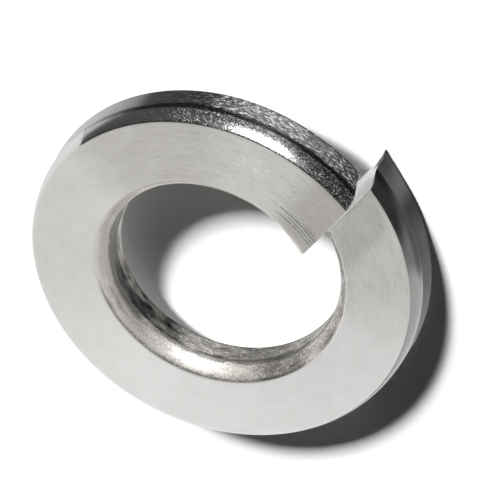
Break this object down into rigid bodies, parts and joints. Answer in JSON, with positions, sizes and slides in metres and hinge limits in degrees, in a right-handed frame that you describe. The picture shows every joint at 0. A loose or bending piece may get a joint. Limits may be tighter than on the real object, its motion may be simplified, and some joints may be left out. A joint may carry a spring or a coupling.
{
  "type": "spring lock washer",
  "caption": "Split spring washer: a flat-faced steel ring with shouldered walls, coiled so that its slanted ends spring apart, for locking a screw or nut.",
  "frame": {"origin": "centre of the bore, half way up the free height", "axes": "+Z along the bore, out of the ground face with the shoulders; +X from the bore's axis through the cut between the ends"},
  "size_m": [0.021, 0.021, 0.0054],
  "materials": {
    "spring_steel": "finely ground faces, blasted outer wall, sheared ends"
  },
  "bodies": {
    "root": {"spring_lock_washer": "spring_steel"}
  },
  "joints": []
}
